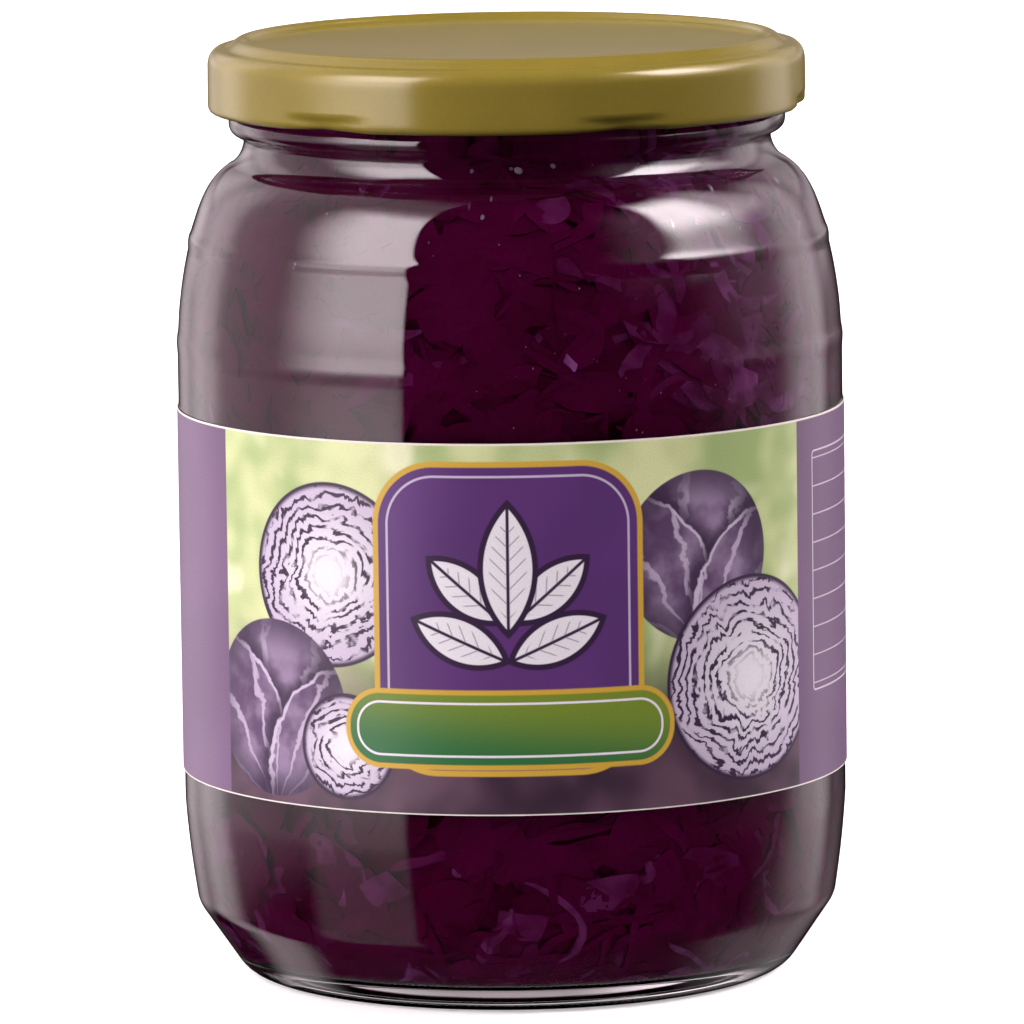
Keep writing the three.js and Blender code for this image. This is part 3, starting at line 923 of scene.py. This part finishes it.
def strip_sheet(random):
    """A curved narrow strip with ragged edges: its points along, across and in depth, in mm, and its tint."""
    long = random.uniform(*STRIP_LENGTHS)
    wide = random.uniform(*STRIP_WIDTHS)
    run = np.linspace(-1, 1, STRIP_STEPS + 1)
    across = np.linspace(-1, 1, STRIP_COLUMNS + 1)
    phase = random.uniform(0, FULL_TURN, 4)
    turn = random.normal(0, 0.9) * run + 0.25 * np.sin(phase[0] + 4 * run)
    stride = long / STRIP_STEPS
    path_x = np.concatenate([[0], np.cumsum(np.cos(turn[:-1]) * stride)])
    path_y = np.concatenate([[0], np.cumsum(np.sin(turn[:-1]) * stride)])
    blunt = np.sqrt(1 - 0.92 * np.abs(run) ** random.uniform(4, 9))
    ragged = 1 + 0.14 * np.sin(phase[1] + 7 * run) + 0.09 * np.sin(phase[2] + 13 * run)
    side = across[None, :] * (wide / 2 * blunt * ragged)[:, None]
    lean = (random.normal(0, 0.4) + random.normal(0, 0.4) * run)[:, None]
    x = path_x[:, None] - side * np.cos(lean) * np.sin(turn)[:, None]
    y = path_y[:, None] + side * np.cos(lean) * np.cos(turn)[:, None]
    arch = 0.2 * (1 - across[None, :] ** 2)
    deep = side * np.sin(lean) - arch + 0.4 * np.sin(phase[3] + 3 * run)[:, None]
    return x - x.mean(), y - y.mean(), deep, random.random()


def flake_sheet(random):
    """A chopped piece of leaf, seldom a pale bit of stalk: points as for a strip, and its tint."""
    stalk = random.random() < STALK_SHARE
    half_long = random.uniform(*(STALK_HALF_LENGTHS if stalk else FLAKE_HALF_LENGTHS))
    half_wide = half_long * random.uniform(0.4, 0.9)
    square = random.uniform(0.15, 0.9) / 2
    u, v = np.meshgrid(
        np.linspace(-1, 1, FLAKE_STEPS + 1), np.linspace(-1, 1, FLAKE_COLUMNS + 1), indexing="ij"
    )
    round_x = u * np.sqrt(1 - square * v ** 2)
    round_y = v * np.sqrt(1 - square * u ** 2)
    around = np.arctan2(round_y, round_x)
    phase = random.uniform(0, FULL_TURN, 5)
    waves = sum(0.07 / order ** 0.5 * np.sin(order * around + phase[order - 2]) for order in (2, 3, 4))
    y = half_wide * round_y * (1 + waves)
    x = half_long * round_x * (1 + waves) + random.normal(0, 0.2) * y
    fold = random.normal(0, 0.2)
    deep = 0.3 * np.sin(phase[3] + 0.6 * x) + 0.2 * np.sin(phase[4] + 0.8 * y) + fold * y
    return x, y, deep, 1.2 + 0.3 * random.random() if stalk else random.random()


def lay_sheet(wall, random, x, y, deep, thickness):
    """Lays a sheet against the glass at a random place, heading and depth: the points of both its faces."""
    along = wall.length * random.uniform(*SHRED_SHARES) ** 0.75
    angle = random.uniform(0, FULL_TURN)
    heading = random.normal(0, HEADING_SPREAD)
    room = float(np.interp(along, ALONG_WALL, CORE_DEPTHS)) / CORE_DEPTHS[-1]
    depth = FIRST_DEPTH + room * SHRED_DEPTH * random.random() ** 1.5
    size = float(np.interp(along, ALONG_WALL, SHRED_SIZES))
    across = size * (x * math.cos(heading) - y * math.sin(heading))
    up = size * (x * math.sin(heading) + y * math.cos(heading))
    radius = max(float(wall.section(along, 0)[0]), 10)
    faces = []
    for under in (0, thickness):
        depths = np.maximum(depth + room * deep, NEAREST_SHRED) + under
        faces.append(wall.place(along + up, angle + across / radius, depths).reshape(-1, 3))
    return np.concatenate(faces)


def lay_bubbles(wall, cabbage):
    """Air bubbles pressed flat on the inner wall in its upper part, a few of them large, in one piece."""
    random = np.random.default_rng(cabbage.seed)
    clear_selection()
    bpy.ops.mesh.primitive_ico_sphere_add(subdivisions=2, radius=1)
    ball = bpy.context.object
    points = np.array([vertex.co for vertex in ball.data.vertices])
    triangles = np.array([face.vertices for face in ball.data.polygons])
    bpy.data.objects.remove(ball)
    vertices, faces = [], []
    for bubble in range(cabbage.bubbles):
        share = random.uniform(*BUBBLE_SHARES)
        size = random.uniform(*BUBBLE_SIZES) + 5 * max(share - SHOULDER_SHARE, 0) * random.random() ** 3
        dented = size * (1 + 0.15 * np.sin(2 * np.arctan2(points[:, 1], points[:, 0]) + random.uniform(0, 6)))
        along = wall.length * share + points[:, 1] * dented * random.uniform(0.8, 1.8)
        turn = points[:, 0] * dented / wall.section(along, 0)[0]
        depth = NEAREST_SHRED / 3 + min(size, FLATTEST_BUBBLE) * (1 - points[:, 2])
        vertices.append(wall.place(along, random.uniform(0, FULL_TURN) + turn, depth))
        faces.append(triangles + bubble * len(points))
    return joined_piece("air_bubbles", vertices, faces)


def tint_with_painted_light(random, tint, middle):
    """A shred's tint by its place: painted light makes more of them pale high at the front right, where the
    right-hand light falls, and down by the foot, where light comes from below; some of these pale ones stand
    for bits of stalk.
    """
    turn = math.degrees(math.atan2(middle[0], -middle[1]))
    # Painted light: how strongly the right-hand light falls here, high at the front right
    right = math.exp(-(((turn - PAINTED_LIGHT_TURN) / PAINTED_LIGHT_SPREAD) ** 2)) * min(max(middle[2] / 40 - 1.2, 0.1), 1)
    # Painted light: how strongly light from below falls here, by the foot
    low = math.exp(-((middle[2] / PAINTED_LIGHT_FOOT) ** 2))
    # Where this painted light falls, more shreds take the pale stalk colour
    if random.random() < 0.02 + 0.8 * right + 0.4 * low:
        return random.uniform(1.1, 1.22 + 0.13 * max(right, low))
    # Other leaf there is painted lighter, as painted light from the right
    return min(tint + 0.5 * right, max(tint, 1.0))


def lay_shreds(name, wall, cabbage, make_sheet, quads, count):
    """All shreds of one kind joined in one piece, with a tint for each."""
    random = np.random.default_rng(cabbage.seed)
    vertices, faces, tints = [], [], []
    total = 0
    for _ in range(count):
        x, y, deep, tint = make_sheet(random)
        points = lay_sheet(wall, random, x, y, deep, cabbage.thickness / MM)
        tint = tint_with_painted_light(random, tint, points.mean(axis=0))
        vertices.append(points)
        faces.append(quads + total)
        tints.append(np.full(len(points), tint))
        total += len(points)
    piece = joined_piece(name, vertices, faces)
    layer = piece.data.attributes.new("tint", "FLOAT", "POINT")
    layer.data.foreach_set("value", np.concatenate(tints).astype(np.float32))
    piece.data.validate()
    return piece


# Operators


class JAR_OT_glass(bpy.types.Operator):
    """Turns the clear glass jar and lays its finish on it"""

    bl_idname = "jar.glass"
    bl_label = "Glass jar"

    def execute(self, context):
        glass = context.scene.jar_glass
        outline = glass_outside(glass) + glass_inside(glass)[::-1]
        piece = turned_piece("glass_jar", outline, GLASS_SIDES)
        finish_piece(piece, glass_material(glass), "jar", crease=60)
        self.wet_inside(piece, glass, context.scene.jar_cabbage.fill_level)
        return {"FINISHED"}

    def wet_inside(self, piece, glass, level):
        """Gives the inner wall below the liquid's level its own finish."""
        piece.data.materials.append(wet_glass_material(glass))
        inner = np.array([point for point in glass_inside(glass) if point[1] * MM < level]) * MM
        places = np.array([vertex.co for vertex in piece.data.vertices])
        sections = np.stack([np.hypot(places[:, 0], places[:, 1]), places[:, 2]], axis=1)
        off = np.linalg.norm(sections[:, None] - inner[None], axis=2).min(axis=1)
        wet = off < 5 * MERGE_DISTANCE
        for face in piece.data.polygons:
            face.material_index = int(all(wet[index] for index in face.vertices))


class JAR_OT_lid(bpy.types.Operator):
    """Turns the gold lid and presses its lugs"""

    bl_idname = "jar.lid"
    bl_label = "Gold lid"

    def execute(self, context):
        lid = context.scene.jar_lid
        piece = turned_piece("gold_lid", lid_section(lid), LID_SIDES)
        self.press_lugs(piece, lid)
        finish_piece(piece, lid_material(lid), "lid", crease=50)
        return {"FINISHED"}

    def press_lugs(self, piece, lid):
        """Pushes the rolled edge in and up at each lug, in nested windows so that the dent is soft."""
        places = np.array([vertex.co for vertex in piece.data.vertices])
        turns = np.arctan2(places[:, 1], places[:, 0])
        outer = np.hypot(places[:, 0], places[:, 1]) > lid.radius - ROLLED_EDGE * MM
        for lug in range(lid.lugs):
            angle = lid.lug_angle - math.pi / 2 + lug * FULL_TURN / lid.lugs
            off = np.abs((turns - angle + math.pi) % FULL_TURN - math.pi)
            inward = -Vector((math.cos(angle), math.sin(angle), 0))
            push = inward * lid.lug_depth + Vector((0, 0, lid.lug_rise))
            for window in range(1, LUG_WINDOWS + 1):
                reach = LUG_REACH * window / LUG_WINDOWS
                rise = (LUG_LOWEST + LUG_GROWTH * window / LUG_WINDOWS) * MM
                select_vertices(piece, outer & (off < reach) & (places[:, 2] < lid.bottom + rise))
                bpy.ops.object.mode_set(mode="EDIT")
                bpy.ops.transform.translate(value=push / LUG_WINDOWS)
                bpy.ops.object.mode_set(mode="OBJECT")


class JAR_OT_label(bpy.types.Operator):
    """Wraps the printed paper label round the jar"""

    bl_idname = "jar.label"
    bl_label = "Paper label"

    def execute(self, context):
        label = context.scene.jar_label
        radius = label.radius / MM
        bottom = label.bottom / MM
        outline = outline_from((radius, bottom), (LABEL_ROWS, (radius, bottom + label.height / MM)))
        start, sweep = label.gap_start + label.gap, FULL_TURN - label.gap
        piece = turned_piece("paper_label", outline, LABEL_SIDES, start, sweep)
        select_only(piece)
        sheet = piece.modifiers.new("Paper", "SOLIDIFY")
        sheet.thickness = label.paper
        sheet.offset = -1
        bpy.ops.object.modifier_apply(modifier=sheet.name)
        finish_piece(piece, label_material(label), "label")
        self.plain_back(piece, label)
        return {"FINISHED"}

    def plain_back(self, piece, label):
        """Gives the face that is glued to the glass, where nothing is printed, its own finish."""
        piece.data.materials.append(label_back_material(label))
        middles = np.array([face.center for face in piece.data.polygons])
        back = np.hypot(middles[:, 0], middles[:, 1]) < label.radius - 0.75 * label.paper
        piece.data.polygons.foreach_set("material_index", back.astype(np.int32))


class JAR_OT_cabbage(bpy.types.Operator):
    """Packs the shreds over a dark core and pours the liquid round them"""

    bl_idname = "jar.cabbage"
    bl_label = "Cabbage and liquid"

    def execute(self, context):
        glass = context.scene.jar_glass
        cabbage = context.scene.jar_cabbage
        wall = FilledWall(glass, cabbage)
        core = turned_piece("cabbage_core", wall.inset(CORE_DEPTHS, CORE_ROWS), CORE_SIDES)
        finish_piece(core, core_material(cabbage), "cabbage", crease=60)
        finish = shred_material(cabbage)
        strip_quads = closed_quads(STRIP_STEPS, STRIP_COLUMNS)
        flake_quads = closed_quads(FLAKE_STEPS, FLAKE_COLUMNS)
        for kind in (
            ("cabbage_strips", wall, cabbage, strip_sheet, strip_quads, cabbage.strips),
            ("cabbage_flakes", wall, cabbage, flake_sheet, flake_quads, cabbage.flakes),
        ):
            finish_piece(lay_shreds(*kind), finish)
        finish_piece(lay_bubbles(wall, cabbage), bubble_material(), crease=60)
        liquid = turned_piece("dark_liquid", wall.inset(LIQUID_DEPTHS, LIQUID_ROWS), LIQUID_SIDES)
        finish_piece(liquid, liquid_material(cabbage), crease=60)
        return {"FINISHED"}


class JAR_OT_stage(bpy.types.Operator):
    """Sets the floor, the soft lights and the camera"""

    bl_idname = "jar.stage"
    bl_label = "Floor, light and camera"

    def execute(self, context):
        stage = context.scene.jar_stage
        self.lay_floor(stage)
        self.light_room(context)
        self.set_camera(context, stage)
        context.scene.view_settings.view_transform = "Standard"
        return {"FINISHED"}

    def lay_floor(self, stage):
        clear_selection()
        bpy.ops.mesh.primitive_plane_add(size=FLOOR_SIZE)
        floor = bpy.context.object
        floor.name = "floor"
        plain = {"Emission Color": stage.floor, "Roughness": 0.9, "Specular IOR Level": 0.1}
        material, nodes, surface, _ = new_material("pale_floor", plain)
        cloud = nodes.patches(nodes.point(), 3)
        path = nodes.add("ShaderNodeLightPath").outputs
        from_leaf = nodes.ramp(path["Diffuse Depth"], 0.0, 1.0)
        pale = nodes.blend(cloud, stage.floor, darker(stage.floor, 0.97))
        through_glass = nodes.blend(from_leaf, darker(stage.floor, 0.6), darker(stage.floor, 0.85))
        nodes.feed(surface["Base Color"], nodes.blend(path["Is Transmission Ray"], pale, through_glass))
        seen = nodes.times(path["Is Transmission Ray"], nodes.minus(1.0, from_leaf))
        glow = nodes.times(path["Is Camera Ray"], FLOOR_GLOW)
        glow = nodes.plus(glow, nodes.times(seen, FLOOR_GLOW_THROUGH_GLASS))
        nodes.feed(surface["Emission Strength"], glow)
        floor.data.materials.append(material)
        floor.visible_glossy = False
        floor.visible_diffuse = False

    def light_room(self, context):
        clear_selection()
        bpy.ops.object.light_add(type="AREA", location=(0, 0, OVERHEAD_HEIGHT))
        over = bpy.context.object
        over.name = "overhead"
        over.data.size = OVERHEAD_SIZE
        over.data.energy = OVERHEAD_POWER
        over.visible_camera = False
        over.visible_glossy = False
        world = bpy.data.worlds.new("studio")
        context.scene.world = world
        world.use_nodes = True
        nodes = Nodes(world.node_tree)
        world.node_tree.nodes.clear()
        direction = nodes.split(nodes.add("ShaderNodeTexCoord").outputs["Generated"])
        turn = nodes.math("ARCTAN2", direction["X"], nodes.times(direction["Y"], -1.0))
        turn = nodes.math("DEGREES", turn)
        rise = nodes.math("DEGREES", nodes.math("ARCSINE", direction["Z"]))
        across = {fades: self.window(nodes, turn, fades) for fades, _, _ in SOFT_WINDOWS.values()}
        upward = {fades: self.window(nodes, rise, fades) for _, fades, _ in SOFT_WINDOWS.values()}
        light = 0.0
        for turns, rises, radiance in SOFT_WINDOWS.values():
            window = nodes.times(across[turns], upward[rises])
            light = nodes.plus(light, nodes.times(window, radiance))
        camera = nodes.add("ShaderNodeLightPath").outputs["Is Camera Ray"]
        tint = nodes.blend(camera, LIGHT_TINT, WHITE)
        sockets = {"Color": tint, "Strength": nodes.math("MAXIMUM", light, camera)}
        back = nodes.add("ShaderNodeBackground", sockets)
        nodes.add("ShaderNodeOutputWorld", {"Surface": back.outputs[0]})

    def window(self, nodes, angle, fades):
        rising = nodes.ramp(angle, fades[0], fades[1])
        return nodes.times(rising, nodes.ramp(angle, fades[2], fades[3], 1.0, 0.0))

    def set_camera(self, context, stage):
        clear_selection()
        bpy.ops.object.camera_add()
        camera = bpy.context.object
        camera.name = "camera"
        camera.data.lens = stage.lens
        camera.data.sensor_width = SENSOR_WIDTH
        forward = Vector((0, math.cos(stage.pitch), -math.sin(stage.pitch)))
        right = Vector((1, 0, 0))
        up = right.cross(forward)
        turned_right = math.cos(stage.roll) * right + math.sin(stage.roll) * up
        turned_up = turned_right.cross(forward)
        axes = Matrix((turned_right, turned_up, -forward)).transposed().to_4x4()
        axes.translation = Vector((0, -stage.camera_distance, stage.camera_height))
        camera.matrix_world = axes
        context.scene.camera = camera


class JAR_PT_pieces(bpy.types.Panel):
    """Lists the jar's pieces"""

    bl_idname = "JAR_PT_pieces"
    bl_label = "Jar of red cabbage"
    bl_space_type = "VIEW_3D"
    bl_region_type = "UI"
    bl_category = "Jar"

    def draw(self, context):
        for operator in OPERATORS:
            self.layout.operator(operator.bl_idname)


SETTINGS = {
    "jar_glass": GlassSettings,
    "jar_lid": LidSettings,
    "jar_label": LabelSettings,
    "jar_cabbage": CabbageSettings,
    "jar_stage": StageSettings,
}
OPERATORS = (JAR_OT_glass, JAR_OT_lid, JAR_OT_label, JAR_OT_cabbage, JAR_OT_stage)


def register():
    for group in (*SETTINGS.values(), *OPERATORS, JAR_PT_pieces):
        bpy.utils.register_class(group)
    for name, group in SETTINGS.items():
        setattr(bpy.types.Scene, name, PointerProperty(type=group))


def unregister():
    for name in SETTINGS:
        delattr(bpy.types.Scene, name)
    for group in reversed((*SETTINGS.values(), *OPERATORS, JAR_PT_pieces)):
        bpy.utils.unregister_class(group)


def main():
    register()
    bpy.ops.jar.glass()
    bpy.ops.jar.lid()
    bpy.ops.jar.label()
    bpy.ops.jar.cabbage()
    bpy.ops.jar.stage()


if __name__ == "__main__":
    main()
